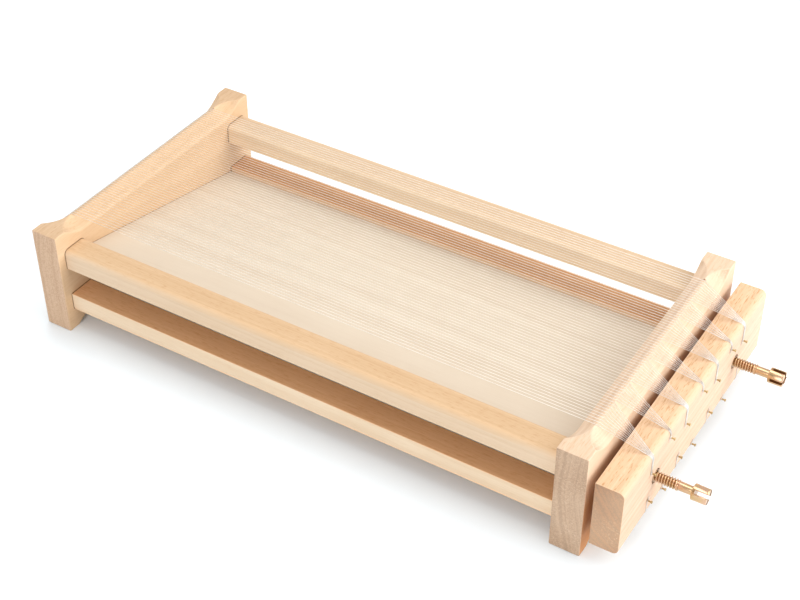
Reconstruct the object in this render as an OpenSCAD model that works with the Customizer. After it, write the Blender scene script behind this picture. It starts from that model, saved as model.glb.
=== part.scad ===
// Stringed pasta cutter: a beech frame with fine steel strings over both faces,
// a sloping catch board between them, and a tension bar pushed out by two screws.

/* [Frame] */
// Clear length between the two end boards
inner_length = 376; // [330:1:420]
// Depth of the frame, front to back
frame_depth = 217; // [200:1:240]
// Height of the end boards
board_height = 80; // [76:1:90]
// Thickness of each end board
board_thickness = 20.5; // [19:0.5:24]

/* [Ridges of the end boards] */
// Width of the flat that the strings cross
ridge_width = 2.4; // [1:0.2:4]
// How far the ridge lies below the feet and ears
ridge_dip = 0.8; // [0.7:0.1:2]
// Drop of the bevel on the inner side
inner_bevel_drop = 7.5; // [5:0.5:10]
// Drop of the bevel on the outer side
outer_bevel_drop = 8; // [5:0.5:10]
// Distance from a board's end to where its bevels are full depth
bevel_start = 28.5; // [26:0.5:29]
// Distance from the board's face to the axis of the bevel cutter
bevel_cutter_offset = 13.5; // [10:0.5:16]

/* [Rails] */
// Distance of each rail from the frame's front or back
rail_inset = 6.8; // [5:0.2:9]
// Depth of a rail, front to back
rail_depth = 19.8; // [16:0.2:24]
// Height of a rail
rail_height = 15; // [12:0.5:17]
// Distance of each rail from the top or bottom of the end boards
rail_margin = 14; // [13:0.5:16]
// Radius along a rail's outer edges; the edges towards the middle are left square
rail_edge_radius = 3.4; // [1:0.2:5]
// Depth of the pocket that holds a rail's end
pocket_depth = 4; // [3:0.5:6]

/* [Catch board] */
// Thickness of the sloping catch board
ramp_thickness = 3; // [2.5:0.5:5]
// Slope of the catch board
ramp_slope = 11.2; // [9:0.1:12]

/* [Strings] */
// Spacing of the upper strings
upper_pitch = 2.5; // [2.3:0.05:2.5]
// Upper strings gathered on each inner pin
upper_inner_fan = 10; // [8:1:10]
// Upper strings gathered on each outer pin
upper_outer_fan = 8; // [6:2:8]
// Spacing of the lower strings
lower_pitch = 5; // [4.6:0.1:5]
// Lower strings gathered on each inner pin
lower_inner_fan = 5; // [4:1:5]
// Lower strings gathered on each outer pin
lower_outer_fan = 4; // [2:2:4]
// Diameter of a string
string_diameter = 0.3; // [0.2:0.05:0.5]

/* [Tension bar] */
// Thickness of the tension bar
bar_thickness = 18.8; // [17:0.2:22]
// Height of the tension bar
bar_height = 50; // [46:1:56]
// Gap between the tension bar and its end board
bar_gap = 5; // [4:0.5:8]
// Radius along the bar's outer edges
bar_edge_radius = 4; // [3:0.5:5]
// Mean spacing of the pins along the bar
pin_pitch = 23.4; // [22:0.2:24]
// How far the middle pin lies beyond the bar's middle
pin_shift = 3.3; // [0:0.1:4]
// Distance of the inner pins from the bar's upper edge
inner_pin_margin = 14.8; // [12:0.2:16]
// Distance of the outer pins from the bar's upper edge
outer_pin_margin = 6.4; // [6:0.2:9]
// How much nearer its edge the lower row of pins is
lower_pin_shift = 2.6; // [0:0.2:3]

/* [Tension screws] */
// Distance between the two screws
screw_spacing = 122.2; // [118:0.2:126]
// How much lower the rear screw is than the front one
rear_screw_drop = 1.2; // [0:0.2:2]
// Thread diameter
thread_diameter = 7; // [6:0.5:8]
// Length of thread beyond the bar
thread_beyond = 15; // [12:0.5:18]
// Diameter of the smooth neck
neck_diameter = 5.8; // [4:0.2:6]
// Length of the smooth neck
neck_length = 9; // [7:0.5:10]
// Diameter of the slotted head
head_diameter = 10.4; // [9:0.2:12]
// Length of the slotted head
head_length = 10; // [8:0.5:12]

/* [Hidden] */
$fn = 48;

// Joints between the wooden pieces
pocket_clearance = 0.2;
ramp_pocket = 2;
ramp_tongue = 4;
dowel_diameter = 6;
dowel_length = 24;
dowel_in_board = 8;
edge_overrun = 1;

// Metal fittings
press = 0.02;
pin_diameter = 1.1;
pin_depth = 10;
pin_proud = 3.5;
pin_head_diameter = 2;
pin_head_length = 0.8;
loop_pin_proud = 2.5;
loop_pin_margins = [18, 23];
insert_diameter = 10;
insert_flange_diameter = 12.4;
insert_flange_length = 0.8;
screw_clearance = 0.05;
plate_diameter = 12;
plate_thickness = 1.5;
head_slot_width = 2.2;
head_slot_depth = 8.2;
head_bore_diameter = 4.4;
front_head_turn = 45;

// Strings
string_radius = string_diameter / 2;
wire_gap = 0.05;
string_lift = string_radius + wire_gap;
pin_count = 7;
bend_offset = 0.2;
fan_gather = 0.42;
loop_narrowing = 0.75;
band_thickness = 0.7;
band_angle = 60;
string_end_angle = 55;

// Overall places: X runs along the frame from the fixed end to the screws
total_length = board_thickness * 2 + inner_length + bar_gap + bar_thickness
             + thread_beyond + neck_length + head_length + loop_pin_proud;
x_fixed_outer = -total_length / 2 + loop_pin_proud;
x_fixed_inner = x_fixed_outer + board_thickness;
x_tension_inner = x_fixed_inner + inner_length;
x_tension_outer = x_tension_inner + board_thickness;
x_bar_inner = x_tension_outer + bar_gap;
x_bar_outer = x_bar_inner + bar_thickness;
z_middle = board_height / 2;
z_bar_top = z_middle + bar_height / 2;
z_ridge = board_height - ridge_dip;
z_string = z_ridge + string_lift;
ridge_inset = (board_thickness - ridge_width) / 2;

// Place of item i in a row that is centred on zero
function row(i, count, pitch) = (i - (count - 1) / 2) * pitch;
// Sum of the first n entries of a list
function sum_to(list, n) = n == 0 ? 0 : list[n - 1] + sum_to(list, n - 1);
// Fan that string i belongs to
function fan_of(i, sizes, f = 0) = i < sum_to(sizes, f + 1) ? f : fan_of(i, sizes, f + 1);
// Strings on each pin, from the front of the bar
function fan_sizes(inner, outer) = [for (i = [0 : pin_count - 1]) i % 2 == 0 ? inner : outer];
upper_fans = fan_sizes(upper_inner_fan, upper_outer_fan);
lower_fans = fan_sizes(lower_inner_fan, lower_outer_fan);
upper_count = sum_to(upper_fans, pin_count);
lower_count = sum_to(lower_fans, pin_count);
// Pins of the bar: i counts from the front, and closer is how much nearer the bar's edge the row is
function pin_y(i) = row(i, pin_count, pin_pitch) + pin_shift * sin(180 * i / (pin_count - 1));
function pin_z(i, closer) = z_bar_top + closer - (i % 2 == 0 ? inner_pin_margin : outer_pin_margin);
function loop_pin_z(i) = board_height - loop_pin_margins[i % 2];

// Where a screw's axis crosses the plane x = 0: side is -1 for the front and 1 for the rear
function screw_axis(side) = [0, side * screw_spacing / 2, z_middle - (side > 0 ? rear_screw_drop : 0)];

// Turns the part over, so that the upper pieces make the lower ones
module turned_over()
    translate([0, 0, z_middle]) rotate([180, 0, 0]) translate([0, 0, -z_middle]) children();

// Straight wire or rod from point a to point b
module rod(a, b, r) {
    d = b - a;
    translate(a) rotate([0, acos(d[2] / norm(d)), atan2(d[1], d[0])])
        cylinder(h = norm(d), r = r, $fn = 16);
}

// Rod along X from the point p
module x_rod(p, length, r) translate(p) rotate([0, 90, 0]) cylinder(h = length, r = r);

// Box given by its low corner and its high corner
module span_box(low, high) translate(low) cube(high - low);

// One bevel along the top of a board, cut by a tapered bit that leaves round ends.
// x = 0 is the board's face and the bit runs on its negative side.
module bevel_cut(drop) {
    run = ridge_inset;
    slope = run / drop;
    low = z_ridge - drop - edge_overrun;
    high = board_height + edge_overrun;
    r_ridge = run + bevel_cutter_offset;
    y_start = frame_depth / 2 - bevel_start;
    for (side = [-1, 1]) translate([-bevel_cutter_offset, side * y_start, low])
        cylinder(h = high - low, r1 = r_ridge - (z_ridge - low) * slope,
                 r2 = r_ridge + (high - z_ridge) * slope, $fn = 96);
    translate([0, y_start, 0]) rotate([90, 0, 0]) linear_extrude(2 * y_start)
        polygon([[-edge_overrun * slope, low], [run + (high - z_ridge) * slope, high],
                 [-bevel_cutter_offset, high], [-bevel_cutter_offset, low]]);
}

// All the shaping along the top edge of a board whose inner face is at x = 0
module ridge_cut() {
    y_start = frame_depth / 2 - bevel_start;
    bevel_cut(inner_bevel_drop);
    translate([board_thickness, 0, 0]) mirror([1, 0, 0]) bevel_cut(outer_bevel_drop);
    span_box([ridge_inset - edge_overrun, -y_start, z_ridge],
             [ridge_inset + ridge_width + edge_overrun, y_start, board_height + edge_overrun]);
}

// Bar along X, used for the rails and their pockets: rounded on the edges away from the middle
// of the frame's height and square on the others. upper is -1 or 1 for a lower or an upper rail.
module rounded_rail(x0, x1, upper, grow = 0) {
    r = rail_edge_radius + grow;
    d = rail_depth + 2 * grow;
    h = rail_height + 2 * grow;
    span_box([x0, -d / 2 + r, -h / 2], [x1, d / 2 - r, h / 2]);
    span_box([x0, -d / 2, -h / 2 + r], [x1, d / 2, h / 2 - r]);
    for (y = [-1, 1]) x_rod([x0, y * (d / 2 - r), upper * (h / 2 - r)], x1 - x0, r);
    inner = upper > 0 ? [-h / 2, 0] : [0, h / 2];
    span_box([x0, -d / 2, inner[0]], [x1, d / 2, inner[1]]);
}

// Centre of a rail: back is -1 or 1 for front or rear, upper is -1 or 1 for lower or upper
function rail_centre(back, upper) = [0, back * (frame_depth / 2 - rail_inset - rail_depth / 2),
                                     z_middle + upper * (z_middle - rail_margin - rail_height / 2)];

// Sloping slab between two x values
module ramp_slab(x0, x1) {
    half = (frame_depth / 2 - rail_inset - rail_depth + ramp_tongue) / cos(ramp_slope);
    translate([0, 0, z_middle]) rotate([-ramp_slope, 0, 0])
        span_box([x0, -half, -ramp_thickness / 2], [x1, half, ramp_thickness / 2]);
}

// Blank end board with its inner face at x = 0 and its outer face at x = board_thickness
module end_board() {
    difference() {
        span_box([0, -frame_depth / 2, 0], [board_thickness, frame_depth / 2, board_height]);
        ridge_cut();
        turned_over() ridge_cut();
        for (back = [-1, 1], upper = [-1, 1]) {
            translate(rail_centre(back, upper))
                rounded_rail(-edge_overrun, pocket_depth, upper, pocket_clearance);
            x_rod(rail_centre(back, upper), pocket_depth + dowel_in_board, dowel_diameter / 2 - press);
        }
        ramp_slab(-edge_overrun, ramp_pocket);
    }
}

// Moves a board's own frame to one end of the frame: the fixed end is mirrored
module at_fixed_end() translate([x_fixed_inner, 0, 0]) mirror([1, 0, 0]) children();
module at_tension_end() translate([x_tension_inner, 0, 0]) children();

module fixed_end_board() color("burlywood") difference() {
    at_fixed_end() end_board();
    loop_pin_rods(upper_count, upper_pitch, pin_diameter / 2 - press);
    turned_over() loop_pin_rods(lower_count, lower_pitch, pin_diameter / 2 - press);
}

module tension_end_board() color("burlywood") difference() {
    at_tension_end() end_board();
    for (side = [-1, 1]) thrust_plate(side);
}

module rail(back, upper) color("wheat") difference() {
    translate(rail_centre(back, upper))
        rounded_rail(x_fixed_inner - pocket_depth, x_tension_inner + pocket_depth, upper);
    ramp_slab(x_fixed_inner - ramp_pocket, x_tension_inner + ramp_pocket);
    hole = dowel_length - dowel_in_board;
    for (x = [x_fixed_inner - pocket_depth, x_tension_inner + pocket_depth - hole])
        x_rod(rail_centre(back, upper) + [x - edge_overrun, 0, 0], hole + edge_overrun * 2,
              dowel_diameter / 2 - press);
}
module front_upper_rail() rail(-1, 1);
module front_lower_rail() rail(-1, -1);
module rear_upper_rail() rail(1, 1);
module rear_lower_rail() rail(1, -1);

module ramp_board() color("linen") ramp_slab(x_fixed_inner - ramp_pocket, x_tension_inner + ramp_pocket);

// Hidden dowels that pin the rails' ends into a board
module dowels(x0) color("tan") for (back = [-1, 1], upper = [-1, 1])
    x_rod(rail_centre(back, upper) + [x0, 0, 0], dowel_length, dowel_diameter / 2);
module fixed_end_dowels() dowels(x_fixed_inner - pocket_depth - dowel_in_board);
module tension_end_dowels() dowels(x_tension_inner + pocket_depth + dowel_in_board - dowel_length);

// Headless pins on the fixed end board, one between each pair of strings
module loop_pin_rods(count, pitch, r) for (i = [0 : count / 2 - 1])
    x_rod([x_fixed_outer - loop_pin_proud, row(i, count / 2, 2 * pitch), loop_pin_z(i)],
          pin_depth + loop_pin_proud, r);
module upper_loop_pins() color("silver") loop_pin_rods(upper_count, upper_pitch, pin_diameter / 2);
module lower_loop_pins() color("silver") turned_over()
    loop_pin_rods(lower_count, lower_pitch, pin_diameter / 2);

// Level strings from one ridge to the other
module strings(count, pitch) color("lightgray") for (i = [0 : count - 1])
    x_rod([x_fixed_inner - ridge_inset - ridge_width, row(i, count, pitch), z_string],
          inner_length + 2 * (ridge_inset + ridge_width), string_radius, $fn = 16);
module upper_strings() strings(upper_count, upper_pitch);
module lower_strings() turned_over() strings(lower_count, lower_pitch);

// The strings' turns round the fixed end's pins, one for each pair of strings: a flat strip bent
// round the pin, and a rod up each side of it to the ridge
module string_loops(count, pitch) {
    x_ridge = x_fixed_outer + ridge_inset - bend_offset;
    z_bevel = z_ridge - outer_bevel_drop + bend_offset;
    color("lightgray") for (i = [0 : count / 2 - 1]) translate([0, row(i, count / 2, 2 * pitch), 0]) {
        for (side = [-1, 1])
            rod([x_ridge, side * pitch / 2, z_string],
                [x_fixed_outer - string_lift, side * pitch / 2, z_bevel + bend_offset], string_radius);
        translate([x_fixed_outer - string_lift - string_radius, 0, 0]) rotate([90, 0, 90])
            linear_extrude(string_diameter)
                polygon(concat(loop_side(i, pitch, z_bevel, string_diameter),
                               loop_side(i, pitch, z_bevel, 0, true)));
    }
}
// Outline of a turn, from one side of its pin down and round to the other. out is the distance outside the
// strip's inner edge.
function loop_side(i, pitch, top, out, back = false) =
    let (r = pin_diameter / 2 + string_lift - string_radius + out, z = loop_pin_z(i),
         half = [[pitch / 2 - string_radius + out, top], [r, z], [loop_narrowing * r, z - r]],
         other = [for (p = half) [-p[0], p[1]]],
         path = concat(half, [for (p = [2 : -1 : 0]) other[p]]))
    [for (p = [0 : 5]) path[back ? 5 - p : p]];
module upper_string_loops() string_loops(upper_count, upper_pitch);
module lower_string_loops() turned_over() string_loops(lower_count, lower_pitch);

// The strings from the tension end's ridge to the bar. The strings of one pin lie side by side over the
// bar's rounded edge, as a thin band that narrows down to the pin. closer is as in pin_z.
module string_fans(count, pitch, sizes, closer = 0) {
    band_radius = bar_edge_radius + wire_gap;
    centre = [x_bar_outer - bar_edge_radius, 0, z_bar_top - bar_edge_radius];
    reach = (band_radius + band_thickness / 2) * [cos(string_end_angle), 0, sin(string_end_angle)];
    color("lightgray") {
        for (i = [0 : count - 1]) {
            f = fan_of(i, sizes);
            beside = i - sum_to(sizes, f) - (sizes[f] - 1) / 2;
            rod([x_tension_outer - ridge_inset + bend_offset, row(i, count, pitch), z_string],
                centre + reach + [0, pin_y(f) + beside * fan_gather, 0], string_radius);
        }
        for (f = [0 : pin_count - 1]) translate(centre + [0, pin_y(f), 0]) {
            width = sizes[f] * fan_gather + wire_gap;
            drop = centre[2] - pin_z(f, closer) - pin_diameter / 2 - wire_gap;
            low_angle = drop < 0 ? asin(-drop / band_radius) : 0;
            translate([0, width / 2, 0]) rotate([90, 0, 0]) rotate([0, 0, low_angle])
                rotate_extrude(angle = band_angle - low_angle)
                    translate([band_radius, 0]) square([band_thickness, width]);
            if (drop > 0) translate([band_radius, 0, 0]) rotate([90, 0, 90])
                linear_extrude(band_thickness)
                    polygon([[-width / 2, 0], [width / 2, 0],
                             [pin_diameter / 2, -drop], [-pin_diameter / 2, -drop]]);
        }
    }
}
module upper_string_fans() string_fans(upper_count, upper_pitch, upper_fans);
module lower_string_fans() turned_over() string_fans(lower_count, lower_pitch, lower_fans, lower_pin_shift);

// Bar that the screws push out, with rounded outer edges
module tension_bar() color("peru") {
    r = bar_edge_radius;
    low = [x_bar_inner, -frame_depth / 2, z_middle - bar_height / 2];
    high = [x_bar_outer, frame_depth / 2, z_bar_top];
    difference() {
        union() {
            span_box(low, high - [r, 0, 0]);
            span_box(low + [0, 0, r], high - [0, 0, r]);
            for (z = [low[2] + r, high[2] - r]) translate([x_bar_outer - r, high[1], z])
                rotate([90, 0, 0]) cylinder(h = frame_depth, r = r);
        }
        for (side = [-1, 1]) insert_rod(side);
        bar_pin_rods(pin_diameter / 2 - press);
        turned_over() bar_pin_rods(pin_diameter / 2 - press, lower_pin_shift);
    }
}

// Shanks of the pins on the bar's outer face
module bar_pin_rods(r, closer = 0) for (i = [0 : pin_count - 1])
    x_rod([x_bar_outer - pin_depth, pin_y(i), pin_z(i, closer)], pin_depth + pin_proud, r);
module bar_pins(closer = 0) color("goldenrod") {
    bar_pin_rods(pin_diameter / 2, closer);
    for (i = [0 : pin_count - 1])
        x_rod([x_bar_outer + pin_proud - pin_head_length, pin_y(i), pin_z(i, closer)],
              pin_head_length, pin_head_diameter / 2);
}
module upper_bar_pins() bar_pins();
module lower_bar_pins() turned_over() bar_pins(lower_pin_shift);

// Threaded insert set in the bar, with a thin flange on the outer face
module insert_rod(side) translate(screw_axis(side)) {
    x_rod([x_bar_inner, 0, 0], bar_thickness, insert_diameter / 2);
    x_rod([x_bar_outer - insert_flange_length, 0, 0], insert_flange_length, insert_flange_diameter / 2);
}
module screw_insert(side) color("darkgoldenrod") difference() {
    insert_rod(side);
    screw_bore(side);
}
module screw_bore(side) x_rod(screw_axis(side) + [x_bar_inner - edge_overrun, 0, 0],
                              bar_thickness + 2 * edge_overrun, thread_diameter / 2 + screw_clearance);
module front_screw_insert() screw_insert(-1);
module rear_screw_insert() screw_insert(1);

// Steel plate let into the end board, for the screw's tip to press on
module thrust_plate(side) x_rod(screw_axis(side) + [x_tension_outer - plate_thickness, 0, 0],
                                plate_thickness, plate_diameter / 2);
module front_thrust_plate() color("silver") thrust_plate(-1);
module rear_thrust_plate() color("silver") thrust_plate(1);

// Tension screw with a cross-slotted, hollow head
module tension_screw(side) color("goldenrod") {
    thread_length = bar_gap + bar_thickness + thread_beyond;
    head_start = thread_length + neck_length;
    translate(screw_axis(side) + [x_tension_outer, 0, 0]) {
        x_rod([0, 0, 0], thread_length, thread_diameter / 2);
        x_rod([thread_length, 0, 0], neck_length, neck_diameter / 2);
        difference() {
            x_rod([head_start, 0, 0], head_length, head_diameter / 2);
            for (turn = [0, 90]) rotate([turn + (side < 0 ? front_head_turn : 0), 0, 0])
                span_box([head_start + head_length - head_slot_depth, -head_diameter, -head_slot_width / 2],
                         [head_start + head_length + edge_overrun, head_diameter, head_slot_width / 2]);
            x_rod([head_start + head_length - head_slot_depth, 0, 0], head_slot_depth + edge_overrun,
                  head_bore_diameter / 2);
        }
    }
}
module front_tension_screw() tension_screw(-1);
module rear_tension_screw() tension_screw(1);

fixed_end_board();
tension_end_board();
front_upper_rail();
front_lower_rail();
rear_upper_rail();
rear_lower_rail();
ramp_board();
fixed_end_dowels();
tension_end_dowels();
upper_loop_pins();
lower_loop_pins();
upper_strings();
lower_strings();
upper_string_loops();
lower_string_loops();
upper_string_fans();
lower_string_fans();
tension_bar();
upper_bar_pins();
lower_bar_pins();
front_screw_insert();
rear_screw_insert();
front_thrust_plate();
rear_thrust_plate();
front_tension_screw();
rear_tension_screw();
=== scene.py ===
"""Stringed pasta cutter: a beech frame with steel strings on both faces, and a bar with two screws."""

import math
import random

import bmesh
import bpy
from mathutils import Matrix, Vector


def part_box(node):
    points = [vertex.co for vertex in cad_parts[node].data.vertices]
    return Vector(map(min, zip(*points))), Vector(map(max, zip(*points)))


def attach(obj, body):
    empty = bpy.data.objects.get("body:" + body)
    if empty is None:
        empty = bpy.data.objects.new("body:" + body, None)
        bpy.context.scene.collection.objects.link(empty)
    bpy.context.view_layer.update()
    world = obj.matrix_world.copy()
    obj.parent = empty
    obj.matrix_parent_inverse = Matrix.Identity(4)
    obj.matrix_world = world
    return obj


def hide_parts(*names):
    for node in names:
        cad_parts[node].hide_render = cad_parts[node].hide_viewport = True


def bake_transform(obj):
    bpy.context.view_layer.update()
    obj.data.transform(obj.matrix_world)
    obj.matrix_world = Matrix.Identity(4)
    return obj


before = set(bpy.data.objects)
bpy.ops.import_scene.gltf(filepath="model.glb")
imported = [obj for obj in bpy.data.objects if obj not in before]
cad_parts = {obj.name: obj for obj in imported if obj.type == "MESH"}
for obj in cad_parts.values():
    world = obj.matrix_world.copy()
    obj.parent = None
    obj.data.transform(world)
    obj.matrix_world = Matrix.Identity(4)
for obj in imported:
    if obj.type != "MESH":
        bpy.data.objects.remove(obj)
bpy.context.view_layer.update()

MM = 0.001

# Camera and stage
CAMERA_PLACE = (0.4164, -0.6874, 0.6954)
CAMERA_TARGET = (-0.0116, 0.0002, 0.04)
CAMERA_ROLL = -0.16
CAMERA_LENS = 69.3
FLOOR_SIZE = 24.0
# A small dark card out of sight, which the round metal mirrors as a dark line
CARD_WAY = (-0.41, -0.66, 0.63)
CARD_DISTANCE = 1.8
CARD_WIDTH = 0.9
CARD_HEIGHT = 0.4

# Shapes that the CAD model shares, in metres
RIDGE_WIDTH = 2.4 * MM
RIDGE_DIP = 0.8 * MM
INNER_BEVEL_DROP = 7.5 * MM
OUTER_BEVEL_DROP = 8 * MM
BEVEL_START = 28.5 * MM
BEVEL_CUTTER_OFFSET = 13.5 * MM
RAIL_EDGE = 3.4 * MM
SQUARE_EDGE = 0.4 * MM
POCKET_GAP = 0.3 * MM
BAR_EDGE = 4 * MM
WORN_EDGE = 0.7 * MM
# Width of the painted shade at the joints of the rails and the ramp with the end boards
JOINT_SHADE_WIDTH = 0.8 * MM
STRING_RADIUS = 0.15 * MM
WIRE_GAP = 0.03 * MM
STRING_LIFT = 0.2 * MM
PIN_RADIUS = 0.55 * MM
PIN_COUNT = 7
PIN_WRAPS = 2.5
PIN_SPACING = 23.4 * MM
BUNDLE_SPACING = 0.40 * MM
STRING_COUNTS = {"upper": 64, "lower": 32}
FAN_SIZES = {"upper": (10, 8), "lower": (5, 4)}
LOOP_PIN_DROPS = (18 * MM, 23 * MM)
PIN_SHIFT = 3.3 * MM
PIN_MARGINS = (14.8 * MM, 6.4 * MM)
LOWER_PIN_SHIFT = 2.6 * MM
PIN_HEAD_RADIUS = 1.0 * MM
THREAD_PITCH = 1.75 * MM
THREAD_DEPTH = 0.8 * MM
THREAD_RADIUS = 3.5 * MM
NECK_RADIUS = 2.9 * MM
NECK_LENGTH = 9 * MM
HEAD_LENGTH = 10 * MM
HEAD_SLOT_DEPTH = 8.2 * MM
HEAD_SLOT_WIDTH = 2.2 * MM
HEAD_BORE_RADIUS = 2.2 * MM
HEAD_TURNS = {"front": 45, "rear": 0}
RAMP_THICKNESS = 3 * MM
RAMP_SLOPE = 11.2

# The CAD pieces that places are worked out from
fixed_low, fixed_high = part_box("fixed_end_board")
tension_low, tension_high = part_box("tension_end_board")
bar_low, bar_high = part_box("tension_bar")
MIDDLE_HEIGHT = (fixed_low.z + fixed_high.z) / 2
BOARD_THICKNESS = fixed_high.x - fixed_low.x
RIDGE_HEIGHT = fixed_high.z - RIDGE_DIP
RIDGE_INSET = (BOARD_THICKNESS - RIDGE_WIDTH) / 2
STRING_HEIGHT = RIDGE_HEIGHT + STRING_LIFT


# ---------------------------------------------------------------- shapes

def round_point(centre, x, radius, angle):
    """A point at x past centre, on a circle about the line along X through it."""
    return (centre.x + x, centre.y + radius * math.cos(angle), centre.z + radius * math.sin(angle))


class Shape:
    """Points and faces of one piece. edge is 1 where a worn edge is and 0 on a flat. On a screw's thread it
    is
    1 on the crests and 0 in the valleys, where the brass gets painted shade.
    """

    def __init__(self):
        self.points = []
        self.faces = []
        self.edge = []

    def loft(self, rings, wear=None, capped=True):
        """Joins rings of points into a skin. wear gives each ring's edge values."""
        first = len(self.points)
        count = len(rings[0])
        for r, ring in enumerate(rings):
            self.points += [tuple(p) for p in ring]
            self.edge += wear[r] if wear else [0.0] * count
        for r in range(len(rings) - 1):
            for k in range(count):
                a = first + r * count + k
                b = first + r * count + (k + 1) % count
                self.faces.append((a, b, b + count, a + count))
        if capped:
            last = first + (len(rings) - 1) * count
            self.faces.append(tuple(range(first + count - 1, first - 1, -1)))
            self.faces.append(tuple(range(last, last + count)))

    def tube(self, path, radius, sides=8):
        """A round wire along a path of points. radius is one size, or one for each point."""
        path = [Vector(p) for p in path]
        radii = radius if isinstance(radius, list) else [radius] * len(path)
        ways = [(b - a).normalized() for a, b in zip(path, path[1:])]
        ways = [ways[0]] + [(a + b).normalized() for a, b in zip(ways, ways[1:])] + [ways[-1]]
        side = ways[0].orthogonal().normalized()
        rings = []
        for place, way, size in zip(path, ways, radii):
            side = (side - way * side.dot(way)).normalized()
            up = way.cross(side)
            turns = [2 * math.pi * k / sides for k in range(sides)]
            rings.append([place + (side * math.cos(t) + up * math.sin(t)) * size for t in turns])
        self.loft(rings)

    def lathe(self, centre, outline, segments=48, twist=None, edge=0.0):
        """Turns an outline of (x, radius) about the line along X through centre.
        twist gives the radius and the edge value from x and the angle, for a thread."""
        rings, wear = [], []
        for x, radius in outline:
            ring, worn = [], []
            for k in range(segments):
                angle = 2 * math.pi * k / segments
                size, value = twist(x, angle, radius) if twist else (radius, edge)
                ring.append(round_point(centre, x, size, angle))
                worn.append(value)
            rings.append(ring)
            wear.append(worn)
        self.loft(rings, wear)

    def piece(self, name, material, body, slot, replaces=(), sharp=38):
        """Makes the Blender object, and has it ride on its body if it has one."""
        mesh = bpy.data.meshes.new(name)
        mesh.from_pydata(self.points, [], self.faces)
        edge = mesh.attributes.new("edge", "FLOAT", "POINT")
        edge.data.foreach_set("value", self.edge)
        face_outward(mesh)
        smooth(mesh, sharp)
        mesh.materials.append(material)
        piece = bpy.data.objects.new(name, mesh)
        bpy.context.scene.collection.objects.link(piece)
        if body:
            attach(piece, body)
        if replaces:
            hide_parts(*replaces)
        return piece


def face_outward(mesh):
    """Turns every face of a closed mesh outward."""
    work = bmesh.new()
    work.from_mesh(mesh)
    bmesh.ops.recalc_face_normals(work, faces=work.faces)
    work.to_mesh(mesh)
    work.free()


def smooth(mesh, sharp):
    """Smooth shading, with a hard line at angles over sharp degrees."""
    mesh.polygons.foreach_set("use_smooth", [True] * len(mesh.polygons))
    mesh.set_sharp_from_angle(angle=math.radians(sharp))


def cut(piece, cutter, sharp=38):
    """Takes a Shape out of a piece."""
    mesh = bpy.data.meshes.new("cutter")
    mesh.from_pydata(cutter.points, [], cutter.faces)
    face_outward(mesh)
    tool = bpy.data.objects.new("cutter", mesh)
    bpy.context.scene.collection.objects.link(tool)
    modifier = piece.modifiers.new("cut", "BOOLEAN")
    modifier.object = tool
    modifier.solver = "EXACT"
    evaluated = piece.evaluated_get(bpy.context.evaluated_depsgraph_get())
    result = bpy.data.meshes.new_from_object(evaluated)
    piece.modifiers.clear()
    piece.data = result
    smooth(result, sharp)
    bpy.data.objects.remove(tool)


def rounded_outline(low, high, radii, steps=5, support=0.4):
    """A rectangle's outline with rounded corners, from the low corner round: (point, outward, edge)."""
    corners = [(low[0], low[1], 180), (high[0], low[1], 270),
               (high[0], high[1], 0), (low[0], high[1], 90)]
    outline = []
    for (a, b, start), radius in zip(corners, radii):
        centre = (a + (radius if start in (180, 90) else -radius),
                  b + (radius if start in (180, 270) else -radius))
        for step in range(-1, steps + 2):
            angle = math.radians(start + 90 * min(max(step, 0), steps) / steps)
            out = (math.cos(angle), math.sin(angle))
            beyond = {-1: -support, steps + 1: support}.get(step, 0) * WORN_EDGE
            place = (centre[0] + radius * out[0] - beyond * out[1],
                     centre[1] + radius * out[1] + beyond * out[0])
            outline.append((place, out, 0.0 if beyond else 1.0))
    return outline


def rounded_prism(shape, outline, start, end, place, edge=WORN_EDGE, steps=4):
    """Extrudes an outline from start to end with worn end edges. place(t, a, b) gives a point."""
    stations = [(start + edge * (1 - math.sin(turn)), edge * (1 - math.cos(turn)), 1.0)
                for turn in [math.pi / 2 * (steps - k) / steps for k in range(steps + 1)]]
    stations.append((start + 1.5 * edge, 0.0, 0.0))
    stations += [(start + end - t, inset, worn) for t, inset, worn in reversed(stations)]
    rings = [[place(t, p[0] - out[0] * inset, p[1] - out[1] * inset) for p, out, _ in outline]
             for t, inset, _ in stations]
    wear = [[max(worn, e) for _, _, e in outline] for _, _, worn in stations]
    shape.loft(rings, wear)


def along_x(t, a, b):
    return (t, a, b)


def along_y(t, a, b):
    return (a, t, b)


def bent(path, reach, steps=4):
    """A path of points with its corners rounded over reach on each side."""
    path = [Vector(p) for p in path]
    result = [path[0]]
    for before, corner, after in zip(path, path[1:], path[2:]):
        a = corner + (before - corner).normalized() * min(reach, (before - corner).length * 0.45)
        b = corner + (after - corner).normalized() * min(reach, (after - corner).length * 0.45)
        for step in range(steps + 1):
            s = step / steps
            result.append(a * (1 - s) ** 2 + corner * 2 * s * (1 - s) + b * s * s)
    result.append(path[-1])
    return result


# ---------------------------------------------------------------- materials

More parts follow.
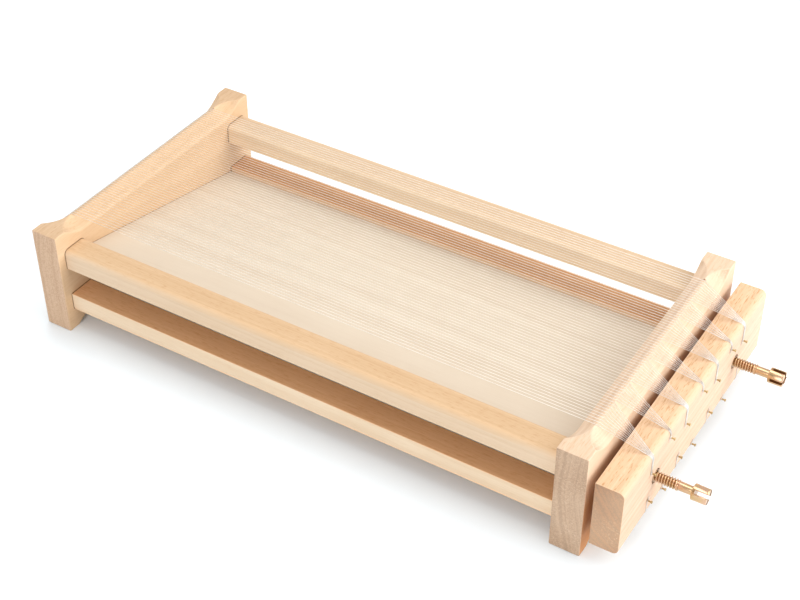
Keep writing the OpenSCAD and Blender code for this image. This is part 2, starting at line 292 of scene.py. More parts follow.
class Nodes:
    """A material's node tree, built one node at a time."""

    def __init__(self, name):
        self.material = bpy.data.materials.new(name)
        self.material.use_nodes = True
        self.tree = self.material.node_tree
        self.tree.nodes.clear()
        self.output = self.tree.nodes.new("ShaderNodeOutputMaterial")

    def add(self, kind, *values, out=0, **settings):
        """Adds a node, sets or links its inputs in order, and returns one output."""
        node = self.tree.nodes.new("ShaderNode" + kind)
        for key, value in settings.items():
            setattr(node, key, value)
        for k, value in enumerate(values):
            if isinstance(value, bpy.types.NodeSocket):
                self.tree.links.new(value, node.inputs[k])
            elif value is not None:
                node.inputs[k].default_value = value
        return node.outputs[out]

    def math(self, operation, *values):
        return self.add("Math", *values, operation=operation)

    def noise(self, place, scale, detail=2.0, roughness=0.5):
        node = self.add("TexNoise", place)
        node.node.inputs["Scale"].default_value = scale
        node.node.inputs["Detail"].default_value = detail
        node.node.inputs["Roughness"].default_value = roughness
        return node

    def ramp(self, value, stops):
        """Maps a value through stops of (place, colour or grey)."""
        node = self.tree.nodes.new("ShaderNodeValToRGB")
        self.tree.links.new(value, node.inputs[0])
        elements = node.color_ramp.elements
        while len(elements) < len(stops):
            elements.new(0.5)
        for element, (place, colour) in zip(elements, stops):
            element.position = place
            element.color = (*colour, 1) if isinstance(colour, tuple) else (colour, colour, colour, 1)
        return node.outputs[0]

    def mix(self, share, a, b, blend="MIX"):
        node = self.tree.nodes.new("ShaderNodeMix")
        node.data_type = "RGBA"
        node.blend_type = blend
        for key, value in (("Factor_Float", share), ("A_Color", a), ("B_Color", b)):
            socket = next(s for s in node.inputs if s.identifier == key)
            if isinstance(value, bpy.types.NodeSocket):
                self.tree.links.new(value, socket)
            else:
                socket.default_value = value if key == "Factor_Float" else (*value, 1)
        return next(s for s in node.outputs if s.identifier == "Result_Color")

    def finish(self, links, **values):
        """Adds the shader. links go to its sockets, and values are set on them."""
        shader = self.tree.nodes.new("ShaderNodeBsdfPrincipled")
        for key, value in values.items():
            shader.inputs[key.replace("_", " ")].default_value = value
        for key, socket in links.items():
            self.tree.links.new(socket, shader.inputs[key])
        self.tree.links.new(shader.outputs[0], self.output.inputs[0])
        return self.material


def beech(name, grain, pith, light, dark, faces=("Z", (1, 1, 1)), end_light=(0.56, 0.37, 0.235),
          end_dark=(0.47, 0.29, 0.175), fleck=0.5, joint_shade=False, gap=None):
    """Solid beech: year rings round a pith line, fibres, ray flecks and darker end grain.
    grain is the axis that the wood grew along, and pith the place of its heart on the other two axes.
    faces names an axis and a tint for the faces across it, which paints light and shade on them: those
    faces come out lighter or darker as the lamps would make them. The flag for joints paints shade as a
    dark band where the piece meets the end boards, and gap paints the shade of the narrow gap behind the
    tension bar on the tension board's outer upright face, from its foot to just above the bar's top."""
    n = Nodes(name)
    place = n.add("TexCoord", out=3)
    split = n.add("SeparateXYZ", place).node
    along, first, second = [split.outputs["XYZ".index(a)] for a in grain + "XYZ".replace(grain, "")]

    def stretched(lengthwise, across):
        return n.add("CombineXYZ", n.math("MULTIPLY", along, lengthwise),
                     n.math("MULTIPLY", first, across), n.math("MULTIPLY", second, across))

    drift = n.math("MULTIPLY", n.math("SUBTRACT", n.noise(stretched(3.0, 18.0), 1.0, 3.0), 0.5), 9 * MM)
    out = n.add("CombineXYZ", n.math("SUBTRACT", first, pith[0]),
                n.math("SUBTRACT", second, pith[1]), 0.0)
    radius = n.math("ADD", n.add("VectorMath", out, operation="LENGTH", out=1), drift)
    rings = n.add("TexNoise", None, n.math("MULTIPLY", radius, 420.0), 1.0, 2.0, noise_dimensions="1D")
    fibre = n.noise(stretched(30.0, 1300.0), 1.0, 3.0, 0.6)
    flecks = n.ramp(n.noise(stretched(190.0, 1500.0), 1.0, 1.0), [(0.56, 0.0), (0.72, 1.0)])
    cloud = n.noise(place, 14.0, 2.0)
    tone = n.math("ADD", n.math("MULTIPLY", rings, 0.55), n.math("MULTIPLY", fibre, 0.30))
    tone = n.math("ADD", tone, n.math("MULTIPLY", cloud, 0.35))
    side = n.mix(n.ramp(tone, [(0.42, 0.0), (0.78, 1.0)]), light, dark)
    normal = n.add("SeparateXYZ", n.add("TexCoord", out=1)).node
    across = n.math("ABSOLUTE", normal.outputs["XYZ".index(faces[0])])
    shown = n.math("MULTIPLY", flecks, n.ramp(across, [(0.3, fleck), (0.9, 0.35 * fleck)]))
    side = n.mix(shown, side, (0.85 * dark[0], 0.72 * dark[1], 0.6 * dark[2]))
    # Painted light and shade: the faces across the faces axis get its tint, lighter or darker as the lamps
    # would make them
    side = n.mix(n.ramp(across, [(0.3, 0.0), (0.9, 1.0)]), side, n.mix(1.0, side, faces[1], "MULTIPLY"))
    # Painted shade: the outer upright face, from the foot to just above the bar's top, is darkened as the
    # gap behind the bar
    if gap:
        upright = n.ramp(normal.outputs[0], [(0.86, 0.0), (0.96, 1.0)])
        height = n.math("MULTIPLY", split.outputs[2], 1 / bar_high.z)
        bar_gap_shade = n.math("MULTIPLY", upright, n.ramp(height, [(0.6, 1.0), (1.1, 0.0)]))
        side = n.mix(bar_gap_shade, side, n.mix(1.0, side, gap, "MULTIPLY"))
    pores = n.noise(stretched(300.0, 1100.0), 1.0, 2.0, 0.7)
    end_tone = n.math("ADD", n.math("MULTIPLY", rings, 0.45), n.math("MULTIPLY", pores, 0.72))
    end = n.mix(n.ramp(end_tone, [(0.5, 0.0), (0.68, 1.0)]), end_light, end_dark)
    specks = n.ramp(n.noise(place, 1100.0, 1.0), [(0.56, 0.0), (0.72, 1.0)])
    rough_cut = n.ramp(n.noise(place, 45.0, 2.0), [(0.42, 0.0), (0.62, 1.0)])
    end = n.mix(n.math("MULTIPLY", n.math("MULTIPLY", specks, rough_cut), 0.45), end, light)
    is_end = n.ramp(n.math("ABSOLUTE", normal.outputs["XYZ".index(grain)]), [(0.35, 0.0), (0.8, 1.0)])
    colour = n.mix(is_end, side, end)
    worn = n.math("MULTIPLY", n.add("Attribute", attribute_name="edge", out=2),
                  n.ramp(cloud, [(0.35, 0.15), (0.65, 0.5)]))
    colour = n.mix(worn, colour, tuple(min(1.0, 1.08 * c) for c in light))
    # Painted shade: a dark brown band at each end, where the piece meets an end board, stands in for the
    # shaded gap there
    if joint_shade:
        middle, half = (fixed_high.x + tension_low.x) / 2, (tension_low.x - fixed_high.x) / 2
        away = n.math("ABSOLUTE", n.math("SUBTRACT", split.outputs[0], middle))
        past = n.math("SUBTRACT", away, half - JOINT_SHADE_WIDTH)
        joint_shade_band = n.ramp(n.math("MULTIPLY", past, 1 / JOINT_SHADE_WIDTH), [(0.2, 0.0), (0.7, 0.8)])
        colour = n.mix(joint_shade_band, colour, (0.20, 0.10, 0.045))
    relief = n.math("ADD", n.math("MULTIPLY", fibre, 0.6), n.math("MULTIPLY", flecks, -0.5))
    bump = n.add("Bump", 0.35, 0.12 * MM)
    n.tree.links.new(relief, bump.node.inputs["Height"])
    rough = n.math("ADD", n.math("MULTIPLY", fibre, 0.18), 0.5)
    return n.finish({"Base Color": colour, "Roughness": rough, "Normal": bump}, Specular_IOR_Level=0.12)


def metal(name, colour, tint, rough, scratch_scale, lines=0.0, valley_shade=None, metallic=1.0):
    """Metal with a patchy tint and fine turning marks round X. A colour given for recesses is its colour
    where edge is 0: painted shade, as in a thread's valleys.
    """
    n = Nodes(name)
    place = n.add("TexCoord", out=3)
    patches = n.noise(place, 120.0, 2.0)
    split = n.add("SeparateXYZ", place).node
    marks_place = n.add("CombineXYZ", n.math("MULTIPLY", split.outputs[0], scratch_scale),
                        n.math("MULTIPLY", split.outputs[1], 300.0),
                        n.math("MULTIPLY", split.outputs[2], 300.0))
    marks = n.noise(marks_place, 1.0, 2.0)
    worn = n.add("Attribute", attribute_name="edge", out=2)
    base = n.mix(n.ramp(patches, [(0.35, 0.0), (0.7, 1.0)]), colour, tint)
    # Painted shade: where edge is 0, in a thread's valleys, the colour is the dark recess colour
    if valley_shade:
        base = n.mix(worn, valley_shade, base)
    else:
        base = n.mix(n.math("MULTIPLY", worn, 0.4), base, tuple(min(1.0, 1.15 * c) for c in colour))
    roughness = n.math("ADD", n.math("MULTIPLY", marks, 0.16), rough - 0.08)
    bump = n.add("Bump", 0.15 + lines, 0.03 * MM)
    n.tree.links.new(marks, bump.node.inputs["Height"])
    return n.finish({"Base Color": base, "Roughness": roughness, "Normal": bump}, Metallic=metallic)


# ---------------------------------------------------------------- wooden pieces

def softened(path, reach, marks):
    """Points at the lengths marks along a path of 2D points, with each corner rounded over reach."""
    lengths = [0.0]
    for a, b in zip(path, path[1:]):
        lengths.append(lengths[-1] + math.dist(a, b))

    def at(length):
        length = min(max(length, 0.0), lengths[-1])
        for k in range(len(path) - 1):
            if length <= lengths[k + 1] or k == len(path) - 2:
                span = max(lengths[k + 1] - lengths[k], 1e-9)
                share = (length - lengths[k]) / span
                return [path[k][i] + share * (path[k + 1][i] - path[k][i]) for i in (0, 1)]

    spread = [reach * (k / 4 - 1) for k in range(9)]
    result = []
    for mark in marks:
        near = [at(mark + s) for s in spread] if reach < mark < lengths[-1] - reach else [at(mark)]
        result.append(tuple(sum(p[i] for p in near) / len(near) for i in (0, 1)))
    return result


def board_corner(y, drop):
    """The outline of one long edge of an end board at y: (distance from its face, height) from half
    height up to its mid-thickness, with how worn each point is."""
    slope = RIDGE_INSET / drop
    beyond = max(0.0, abs(y) - (fixed_high.y - BEVEL_START))
    top = RIDGE_HEIGHT if beyond == 0 else fixed_high.z
    reach = RIDGE_INSET + BEVEL_CUTTER_OFFSET
    low = RIDGE_HEIGHT + (math.hypot(BEVEL_CUTTER_OFFSET, beyond) - reach) / slope
    path = [(0.0, MIDDLE_HEIGHT)]
    steps = 8
    if low < top:
        for k in range(steps + 1):
            z = low + (top - low) * k / steps
            radius = reach + (z - RIDGE_HEIGHT) * slope
            path.append((max(0.0, math.sqrt(max(radius ** 2 - beyond ** 2, 0)) - BEVEL_CUTTER_OFFSET), z))
    else:
        path.append((0.0, top))
    path.append((BOARD_THICKNESS / 2, top))
    first = math.dist(path[0], path[1])
    last = sum(math.dist(a, b) for a, b in zip(path, path[1:])) - math.dist(path[-2], path[-1])
    around = [-2.0, -1.0, -0.5, 0.0, 0.5, 1.0]
    near_low = [first + WORN_EDGE * a for a in around]
    near_top = [last - WORN_EDGE * a for a in reversed(around)]
    between = [first + (last - first) * k / 6 for k in range(1, 6)]
    marks = sorted([0.0] + near_low + between + near_top)
    edge = [1.0 if min(abs(m - first), abs(m - last)) < 0.8 * WORN_EDGE else 0.0 for m in marks]
    return softened(path, WORN_EDGE, marks), edge


def end_board(name, inner_x, outward, material):
    """An end board: long bevels meet in a ridge along its top and bottom, with an ear at each end."""
    half = fixed_high.y
    start = half - BEVEL_START
    run_out = [start + 1e-5] + [start + BEVEL_START * k / 22 for k in range(1, 17)]
    stations = [(y, 0.0) for y in [0.0, start * 0.5, start - 1 * MM, start - 0.3 * MM] + run_out]
    stations += [(half - 1.5 * WORN_EDGE, 0.0)]
    ends = [math.pi / 8 * k for k in range(5)]
    stations += [(half - WORN_EDGE * (1 - math.sin(turn)), WORN_EDGE * (1 - math.cos(turn)))
                 for turn in ends]
    stations = [(-y, inset) for y, inset in reversed(stations[1:])] + stations
    rings, wear = [], []
    for y, inset in stations:
        inner, inner_edge = board_corner(y, INNER_BEVEL_DROP)
        outer, outer_edge = board_corner(y, OUTER_BEVEL_DROP)
        top = inner[1:] + [(BOARD_THICKNESS - u, z) for u, z in reversed(outer[1:-1])]
        bottom = [(u, 2 * MIDDLE_HEIGHT - z) for u, z in reversed(top)]
        centre = (BOARD_THICKNESS / 2, MIDDLE_HEIGHT)
        shrink = [1 - inset / c for c in centre]
        ring = [(centre[0] + (u - centre[0]) * shrink[0], centre[1] + (z - centre[1]) * shrink[1])
                for u, z in top + bottom]
        rings.append([(inner_x + outward * u, y, z) for u, z in ring])
        upper_edge = inner_edge[1:] + list(reversed(outer_edge[1:-1]))
        worn = 1.0 if inset > 0 or abs(y) > half - 0.5 * WORN_EDGE else 0.0
        wear.append([max(worn, e) for e in upper_edge + list(reversed(upper_edge))])
    shape = Shape()
    shape.loft(rings, wear)
    piece = shape.piece(name + "_wood", material, "frame", "end_board_beech", [name])
    pockets = Shape()
    for rail in RAILS:
        low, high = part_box(rail)
        outline = rail_outline(rail, POCKET_GAP)
        deep = low.x if outward < 0 else high.x
        near = inner_x - outward * 1 * MM
        rounded_prism(pockets, outline, min(deep, near), max(deep, near), along_x, edge=0.1 * MM)
    cut(piece, pockets)
    return piece


# Light and dark tone of each rail, and the tint of its front and rear faces. The tint paints light and
# shade on those faces, and the lower rails' deeper orange tones paint the warm shade under the upper rails
RAIL_TONES_AND_SHADE = {"front_upper_rail": ((0.61, 0.425, 0.26), (0.54, 0.355, 0.20), (1.13, 1.25, 1.47)),
              "front_lower_rail": ((0.80, 0.47, 0.25), (0.72, 0.39, 0.19), (0.94, 1.28, 1.75)),
              "rear_upper_rail": ((0.62, 0.46, 0.31), (0.55, 0.39, 0.25), (1.35, 1.45, 1.5)),
              "rear_lower_rail": ((0.68, 0.38, 0.19), (0.58, 0.31, 0.14), (1.15, 1.46, 1.9))}
RAILS = list(RAIL_TONES_AND_SHADE)


def rail_outline(name, grow):
    """A rail's section, grown by a gap for its pocket. The edges towards the middle are square."""
    low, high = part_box(name)
    below, above = (SQUARE_EDGE, RAIL_EDGE) if "upper" in name else (RAIL_EDGE, SQUARE_EDGE)
    radii = [below + grow, below + grow, above + grow, above + grow]
    return rounded_outline((low.y - grow, low.z - grow), (high.y + grow, high.z + grow), radii, steps=7)


def rails():
    """The four rails, each in its own tone, with painted light and shade on their faces and at their
    joints.
    """
    for k, name in enumerate(RAILS):
        low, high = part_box(name)
        # across paints light and shade on the front and rear faces, and the joint flag paints shade where
        # each rail meets the end boards
        light, dark, across = RAIL_TONES_AND_SHADE[name]
        pith = (0.09 - 0.05 * k, -0.07 + 0.045 * k)
        material = beech(name + "_beech", "X", pith, light, dark, ("Y", across), joint_shade=True)
        outline = rail_outline(name, 0.0)
        shape = Shape()
        rounded_prism(shape, outline, low.x + 0.05 * MM, high.x - 0.05 * MM, along_x, edge=0.5 * MM)
        shape.piece(name + "_wood", material, "frame", "rail_beech", [name])


def ramp(material):
    """The thin sloping board. Its width is worked out from its box, thickness and slope."""
    low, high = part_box("ramp_board")
    up = RAMP_THICKNESS / 2
    slope = math.radians(RAMP_SLOPE)
    half = ((high.y - low.y) / 2 - up * math.sin(slope)) / math.cos(slope)
    outline = rounded_outline((-half, -up), (half, up), [0.3 * MM] * 4, steps=2)

    def place(t, a, b):
        return (t, a * math.cos(slope) + b * math.sin(slope),
                MIDDLE_HEIGHT - a * math.sin(slope) + b * math.cos(slope))

    shape = Shape()
    rounded_prism(shape, outline, low.x, high.x, place, edge=0.2 * MM)
    shape.piece("ramp_board_wood", material, "frame", "catch_board_wood", ["ramp_board"])


def tension_bar(material):
    """The bar, with round edges where the strings pass over it and a hole for each insert."""
    outline = rounded_outline((bar_low.x, bar_low.z), (bar_high.x, bar_high.z),
                              [WORN_EDGE, BAR_EDGE, BAR_EDGE, WORN_EDGE], steps=8)
    shape = Shape()
    rounded_prism(shape, outline, bar_low.y, bar_high.y, along_y)
    piece = shape.piece("tension_bar_wood", material, "bar", "bar_beech", ["tension_bar"])
    for node in ("front_screw_insert", "rear_screw_insert"):
        low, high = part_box(node)
        centre = Vector((0, (low.y + high.y) / 2, (low.z + high.z) / 2))
        holes = Shape()
        holes.lathe(centre, [(bar_low.x - 1 * MM, 5 * MM), (bar_high.x + 1 * MM, 5 * MM)])
        cut(piece, holes)


# ---------------------------------------------------------------- strings

def turned_over(p):
    """The lower side's place for a point of the upper side."""
    return Vector((p[0], -p[1], 2 * MIDDLE_HEIGHT - p[2]))


def upper(p):
    return Vector(p)


def frame_strings(side, flip, material):
    """The strings on the frame. Each pair is one wire that turns round a pin on the fixed end's face."""
    low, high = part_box(side + "_strings")
    count = STRING_COUNTS[side]
    pitch = (high.y - low.y - 2 * STRING_RADIUS) / (count - 1)
    ridge_out = fixed_low.x + RIDGE_INSET
    face = fixed_low.x - STRING_RADIUS - WIRE_GAP
    bevel_foot = RIDGE_HEIGHT - OUTER_BEVEL_DROP
    height = STRING_HEIGHT - 0.1 * MM
    around = PIN_RADIUS + STRING_RADIUS
    shape = Shape()
    for pair in range(count // 2):
        y = (pair - (count / 2 - 1) / 2) * 2 * pitch
        z = fixed_high.z - LOOP_PIN_DROPS[pair % 2]
        half = []
        for way in (-1, 1):
            edge = y + way * pitch / 2
            half.append([(high.x + 0.2 * MM, edge, height), (ridge_out, edge, height),
                         (face, edge, bevel_foot + 0.15 * MM), (face, y + way * around, z)])
        turn = [(face, y - around * math.cos(a), z - around * math.sin(a))
                for a in [math.pi * k / 8 for k in range(1, 8)]]
        path = bent(half[0], 1.0 * MM) + turn + list(reversed(bent(half[1], 1.0 * MM)))
        shape.tube([flip(p) for p in path], STRING_RADIUS)
    shape.piece(side + "_string_wires", material, "frame", "string_steel",
                [side + "_strings", side + "_string_loops"], sharp=80)


def bar_pin(side, k):
    """Where pin k of a row meets the bar's outer face, before the lower row is turned over."""
    y = (k - (PIN_COUNT - 1) / 2) * PIN_SPACING + PIN_SHIFT * math.sin(math.pi * k / (PIN_COUNT - 1))
    return y, bar_high.z - PIN_MARGINS[k % 2] + (LOWER_PIN_SHIFT if side == "lower" else 0.0)


def fans(side, flip, material):
    """The strings from the tension end's ridge over the bar's rounded edge to its pins."""
    rng = random.Random(7 if side == "upper" else 8)
    low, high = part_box(side + "_strings")
    count = STRING_COUNTS[side]
    sizes = [FAN_SIZES[side][f % 2] for f in range(PIN_COUNT)]
    pitch = (high.y - low.y - 2 * STRING_RADIUS) / (count - 1)
    ridge = tension_high.x - RIDGE_INSET
    reach = BAR_EDGE + STRING_RADIUS + WIRE_GAP
    cx, cz = bar_high.x - BAR_EDGE, bar_high.z - BAR_EDGE
    start = (ridge, STRING_HEIGHT - 0.1 * MM)
    away = math.hypot(start[0] - cx, start[1] - cz)
    touch = math.atan2(start[1] - cz, start[0] - cx) - math.acos(reach / away)
    around = PIN_RADIUS + STRING_RADIUS + WIRE_GAP
    shape = Shape()
    string = 0
    for f, size in enumerate(sizes):
        pin_y, pin_z = bar_pin(side, f)
        foot = pin_z + PIN_RADIUS
        layers = 2 if size > 5 else 1
        for k in range(size):
            y = (string - (count - 1) / 2) * pitch
            string += 1
            paired = (0.5 if f % 2 else 0.25) * (-1) ** k
            beside = (k + paired - (size - 1) / 2) * BUNDLE_SPACING * rng.uniform(0.94, 1.06)
            close = beside * rng.uniform(0.34, 0.5)
            lift = (k % layers) * 1.6 * STRING_RADIUS
            path = [Vector((start[0], y, start[1]))]
            length = reach * touch + cz - foot
            for step in range(19):
                share = step / 18
                gone = length * share
                angle = max(touch - gone / reach, 0.0)
                over = reach + lift * min(1.0, 3 * share)
                narrow = beside + (close - beside) * min(1.0, 1.6 * share) ** 0.8
                path.append(Vector((cx + over * math.cos(angle), pin_y + narrow,
                                    cz + over * math.sin(angle) - max(gone - reach * touch, 0.0))))
            shape.tube([flip(p) for p in path], STRING_RADIUS, sides=6)
        coil = []
        for step in range(int(PIN_WRAPS * 12) + 1):
            angle = 2 * math.pi * step / 12 + 0.5
            coil.append(Vector((bar_high.x + STRING_RADIUS + WIRE_GAP + 2 * STRING_RADIUS * step / 12,
                                pin_y + around * math.cos(angle), pin_z + around * math.sin(angle))))
        shape.tube([flip(p) for p in coil], STRING_RADIUS, sides=6)
        for tail in range(2):
            lean = rng.uniform(-1.9, -0.6) * MM
            drop = rng.uniform(1.8, 3.2) * MM
            hang = [coil[0] + Vector((0, lean * share, -drop * share * (0.6 + 0.4 * share)))
                    for share in (0, 0.3, 0.7, 1.0)]
            hang = [p + Vector((0.5 * MM * tail, -2 * PIN_RADIUS, -0.3 * MM)) for p in hang]
            shape.tube([flip(p) for p in hang], STRING_RADIUS, sides=6)
    piece = shape.piece(side + "_fan_wires", material, None, "string_steel",
                        [side + "_string_fans"], sharp=80)
    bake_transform(piece)


# ---------------------------------------------------------------- pins and screws

def pins(node, x_from, x_to, places, material, slot, body, head):
    """Round pins along X from x_from to x_to, with a domed end or a nail's head."""
    shape = Shape()
    way = 1 if x_to > x_from else -1
    length = abs(x_to - x_from)
    if head:
        wide = PIN_HEAD_RADIUS
        outline = [(0, PIN_RADIUS), (length - 0.9 * MM, PIN_RADIUS), (length - 0.75 * MM, 0.9 * wide),
                   (length - 0.65 * MM, wide), (length - 0.35 * MM, wide),
                   (length - 0.12 * MM, 0.8 * wide), (length, 0.3 * wide)]
    else:
        outline = [(0, PIN_RADIUS), (length - 0.3 * MM, PIN_RADIUS),
                   (length - 0.08 * MM, 0.7 * PIN_RADIUS), (length, 0.3 * PIN_RADIUS)]
    for y, z in places:
        shape.lathe(Vector((x_from, y, z)), [(way * x, r) for x, r in outline], segments=16)
    shape.piece(node + "_round", material, body, slot, [node])


def bar_pins(material):
    """The nails on the bar's outer face, a row of seven for each side's strings."""
    for side, flip in (("upper", upper), ("lower", turned_over)):
        low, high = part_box(side + "_bar_pins")
        places = []
        for k in range(PIN_COUNT):
            p = flip((0, *bar_pin(side, k)))
            places.append((p.y, p.z))
        pins(side + "_bar_pins", low.x, high.x, places, material, "pin_brass", "bar", True)


def loop_pins(material):
    """The pins on the fixed end board's outer face, one for each pair of strings."""
    for side, flip in (("upper", upper), ("lower", turned_over)):
        low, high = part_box(side + "_loop_pins")
        count = STRING_COUNTS[side] // 2
        pitch = (high.y - low.y - 2 * PIN_RADIUS) / (count - 1)
        places = []
        for k in range(count):
            p = flip((0, (k - (count - 1) / 2) * pitch, fixed_high.z - LOOP_PIN_DROPS[k % 2]))
            places.append((p.y, p.z))
        pins(side + "_loop_pins", high.x, low.x, places, material, "pin_steel", "frame", False)


def tension_screw(side, material):
    """A brass screw: a rolled thread, a smooth neck and a head cut into four lugs."""
    node = side + "_tension_screw"
    low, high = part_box(node)
    centre = Vector((low.x, (low.y + high.y) / 2, (low.z + high.z) / 2))
    head_radius = (high.z - low.z) / 2
    length = high.x - low.x
    head_start = length - HEAD_LENGTH
    thread_end = head_start - NECK_LENGTH

    # The edge value is 1 on the crests and 0 in the valleys, where the brass paints shade
    def thread(x, angle, radius):
        phase = x / THREAD_PITCH - angle / (2 * math.pi)
        wave = abs(2 * (phase - math.floor(phase + 0.5)))
        run_out = min(1.0, max(0.0, (thread_end - 0.4 * MM - x) / (0.8 * MM)))
        valley = min(1.0, max(0.0, 1.5 * wave - 0.3)) * run_out
        return radius - THREAD_DEPTH * valley, 1 - valley

    steps = int(thread_end / THREAD_PITCH * 16)
    outline = [(0.0, THREAD_RADIUS - THREAD_DEPTH)]
    for k in range(1, steps + 1):
        x = thread_end * k / steps
        outline.append((x, THREAD_RADIUS - max(0.0, 0.6 * MM - x)))
    shape = Shape()
    shape.lathe(centre, outline, 48, thread)
    neck = [(thread_end - 0.5 * MM, NECK_RADIUS - 0.2 * MM), (thread_end, NECK_RADIUS),
            (head_start + 0.5 * MM, NECK_RADIUS)]
    shape.lathe(centre, neck, 48, edge=1.0)
    shape.piece(side + "_screw_thread", material, side + "_screw", "screw_brass", [node], sharp=50)

    head = Shape()
    r = head_radius
    base = [(head_start, NECK_RADIUS - 0.3 * MM), (head_start, r - 0.4 * MM),
            (head_start + 0.15 * MM, r - 0.12 * MM), (head_start + 0.4 * MM, r)]
    tip = [(length - 0.9 * MM, r), (length - 0.4 * MM, r - 0.15 * MM), (length - 0.1 * MM, r - 0.5 * MM),
           (length, r - 1.0 * MM), (length, 2.5 * MM)]
    head.lathe(centre, base + tip, 64, edge=1.0)
    piece = head.piece(side + "_screw_head", material, side + "_screw", "screw_brass")
    slot_start = length - HEAD_SLOT_DEPTH
    reach, half = head_radius * 1.3, HEAD_SLOT_WIDTH / 2
    outline = rounded_outline((-reach, -half), (reach, half), [0.2 * MM] * 4, steps=2)
    for quarter in (0, 1):
        angle = math.radians(HEAD_TURNS[side] + 90 * quarter)

        def place(t, a, b, angle=angle):
            return (centre.x + t, centre.y + a * math.cos(angle) - b * math.sin(angle),
                    centre.z + a * math.sin(angle) + b * math.cos(angle))

        slot = Shape()
        rounded_prism(slot, outline, slot_start, length + 1 * MM, place, edge=0.2 * MM)
        cut(piece, slot, 50)
    bore = Shape()
    bore.lathe(centre, [(slot_start, HEAD_BORE_RADIUS - 0.3 * MM),
                        (slot_start + 0.3 * MM, HEAD_BORE_RADIUS), (length + 1 * MM, HEAD_BORE_RADIUS)], 32)
    cut(piece, bore, 50)
    bevel = piece.modifiers.new("worn", "BEVEL")
    bevel.width = 0.18 * MM
    bevel.segments = 2
    bevel.limit_method = "ANGLE"
    bevel.angle_limit = math.radians(50)
    bevel.use_clamp_overlap = True


def screw_insert(side, material):
    """The threaded insert: a sleeve with a thin mouth and two long points pressed into the wood."""
    node = side + "_screw_insert"
    low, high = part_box(node)
    centre = Vector((0, (low.y + high.y) / 2, (low.z + high.z) / 2))
    # Each place along X with its radius in mm, and 1 where the points stand out
    profile = [(low.x, 3.56, 0), (high.x - 0.05 * MM, 3.56, 0), (high.x, 3.8, 0), (high.x, 4.1, 1),
               (high.x - 0.25 * MM, 4.3, 1), (high.x - 0.8 * MM, 4.3, 1),
               (high.x - 0.85 * MM, 4.9, 0), (low.x, 4.9, 0)]
    rings = []
    for x, radius, star in profile + profile[:1]:
        ring = []
        for k in range(96):
            angle = 2 * math.pi * k / 96
            point = max(0.0, math.cos(angle - 0.25)) ** 60 + max(0.0, -math.cos(angle)) ** 60
            size = (radius + star * 1.9 * point) * MM
            ring.append((x, centre.y + size * math.cos(angle), centre.z + size * math.sin(angle)))
        rings.append(ring)
    shape = Shape()
    shape.loft(rings, capped=False)
    shape.piece(side + "_insert_mouth", material, "bar", "screw_brass", [node])


# ---------------------------------------------------------------- stage

def stage():
    """The camera, the floor, the dark card and the lights."""
    camera = bpy.data.objects.new("camera", bpy.data.cameras.new("camera"))
    bpy.context.scene.collection.objects.link(camera)
    bpy.context.scene.camera = camera
    camera.data.lens = CAMERA_LENS
    camera.data.sensor_width = 36
    camera.location = CAMERA_PLACE
    look = Vector(CAMERA_TARGET) - Vector(CAMERA_PLACE)
    camera.rotation_euler = look.to_track_quat("-Z", "Y").to_euler()
    camera.rotation_euler.rotate_axis("Z", math.radians(CAMERA_ROLL))

    floor = flat_sheet("floor", FLOOR_SIZE, FLOOR_SIZE, "pale_floor", (0.875, 0.94, 0.985, 1))

    card = flat_sheet("dark_card", CARD_WIDTH, CARD_HEIGHT, "black_card", (0.01, 0.01, 0.01, 1))
    toward = Vector(CARD_WAY).normalized()
    card.location = toward * CARD_DISTANCE
    card.rotation_euler = toward.to_track_quat("Z", "Y").to_euler()

    world = bpy.data.worlds.new("studio")
    bpy.context.scene.world = world
    world.use_nodes = True
    world.node_tree.nodes["Background"].inputs[0].default_value = (1, 1, 1, 1)
    world.node_tree.nodes["Background"].inputs[1].default_value = 0.75
    bpy.context.scene.view_settings.view_transform = "Standard"
    light("key", (0.95, 0.6, 1.0), 1.0, 6.5)
    light("glint", (-0.2, 0.1, 1.15), 0.5, 6.0, 1.4)
    light("side", (1.5, 0.3, 0.65), 1.2, 12.0)
    light("front", (0.3, -1.9, 0.9), 1.4, 15.0)


def flat_sheet(name, width, height, material_name, colour):
    """A flat rectangle in one matt colour."""
    w, h = width / 2, height / 2
    mesh = bpy.data.meshes.new(name)
    mesh.from_pydata([(-w, -h, 0), (w, -h, 0), (w, h, 0), (-w, h, 0)], [], [(0, 1, 2, 3)])
    mesh.materials.append(Nodes(material_name).finish({}, Base_Color=colour, Roughness=0.9))
    sheet = bpy.data.objects.new(name, mesh)
    bpy.context.scene.collection.objects.link(sheet)
    return sheet


def light(name, place, size, power, depth=None):
    """A soft lamp that faces the part: round, or oblong when a depth is given."""
    lamp = bpy.data.lights.new(name, "AREA")
    lamp.shape = "ELLIPSE"
    lamp.size = size
    lamp.size_y = depth or size
    lamp.energy = power
    obj = bpy.data.objects.new(name, lamp)
    obj.location = place
    obj.rotation_euler = (-Vector(place)).to_track_quat("-Z", "Y").to_euler()
    bpy.context.scene.collection.objects.link(obj)


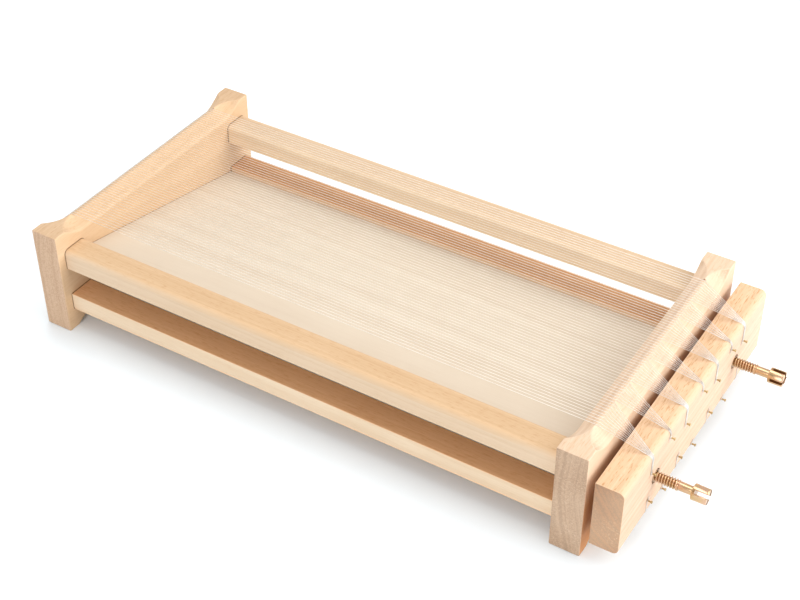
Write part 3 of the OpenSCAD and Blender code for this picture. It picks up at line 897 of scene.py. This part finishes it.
def build():
    """Makes the stage, the materials and every piece."""
    stage()
    # The X tints of the boards and the bar paint light on their inner and outer faces, and the tension
    # board's gap tint paints the shade behind the bar
    fixed_beech = beech("fixed_end_beech", "Y", (0.11, 0.03), (0.61, 0.43, 0.275), (0.53, 0.35, 0.205),
                        ("X", (1.24, 1.26, 1.26)), (0.56, 0.385, 0.265), (0.44, 0.275, 0.175))
    tension_beech = beech("tension_end_beech", "Y", (0.40, 0.06),
                          (0.68, 0.52, 0.38), (0.60, 0.425, 0.285), ("X", (1.22, 1.22, 1.24)),
                          (0.37, 0.22, 0.13), (0.22, 0.11, 0.055), gap=(0.8, 0.52, 0.33))
    bar_beech = beech("tension_bar_beech", "Y", (0.245, 0.085),
                      (0.72, 0.51, 0.335), (0.62, 0.40, 0.235), ("X", (1.06, 1.1, 1.25)),
                      (0.25, 0.072, 0.016), (0.10, 0.022, 0.005), fleck=1.0)
    pale = beech("catch_board_pale", "X", (0.0, 0.9), (0.665, 0.57, 0.455), (0.61, 0.505, 0.39),
                 fleck=0.1, joint_shade=True)
    steel = metal("drawn_steel", (0.91, 0.88, 0.83), (0.85, 0.81, 0.76), 0.46, 100.0)
    # The fan wires are the same steel as the strings, made darker: painted shade
    shaded_fan_steel = metal("shaded_fan_steel", (0.81, 0.78, 0.74), (0.64, 0.59, 0.54), 0.40, 100.0)
    plain_steel = metal("pin_steel", (0.62, 0.61, 0.60), (0.5, 0.49, 0.48), 0.4, 900.0)
    # The brass's dark brown third colour paints shade in the thread's valleys
    brass = metal("screw_brass", (0.64, 0.41, 0.27), (0.58, 0.40, 0.19), 0.22, 2500.0, 0.05,
                  (0.34, 0.16, 0.055), 0.75)
    mouth = metal("insert_bronze", (0.34, 0.19, 0.09), (0.26, 0.14, 0.06), 0.4, 1500.0, metallic=0.7)
    nail = metal("nail_brass", (0.50, 0.36, 0.17), (0.40, 0.28, 0.13), 0.34, 1200.0)
    end_board("fixed_end_board", fixed_high.x, -1, fixed_beech)
    end_board("tension_end_board", tension_low.x, 1, tension_beech)
    rails()
    ramp(pale)
    tension_bar(bar_beech)
    for side, flip in (("upper", upper), ("lower", turned_over)):
        frame_strings(side, flip, steel)
        fans(side, flip, shaded_fan_steel)
    bar_pins(nail)
    loop_pins(plain_steel)
    for side in ("front", "rear"):
        tension_screw(side, brass)
        screw_insert(side, mouth)
        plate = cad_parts[side + "_thrust_plate"]
        plate.data.materials.clear()
        plate.data.materials.append(plain_steel)
    dowel = beech("dowel_beech", "X", (0.02, 0.02), (0.80, 0.58, 0.38), (0.66, 0.44, 0.27))
    for end in ("fixed", "tension"):
        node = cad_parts[end + "_end_dowels"]
        node.data.materials.clear()
        node.data.materials.append(dowel)


build()
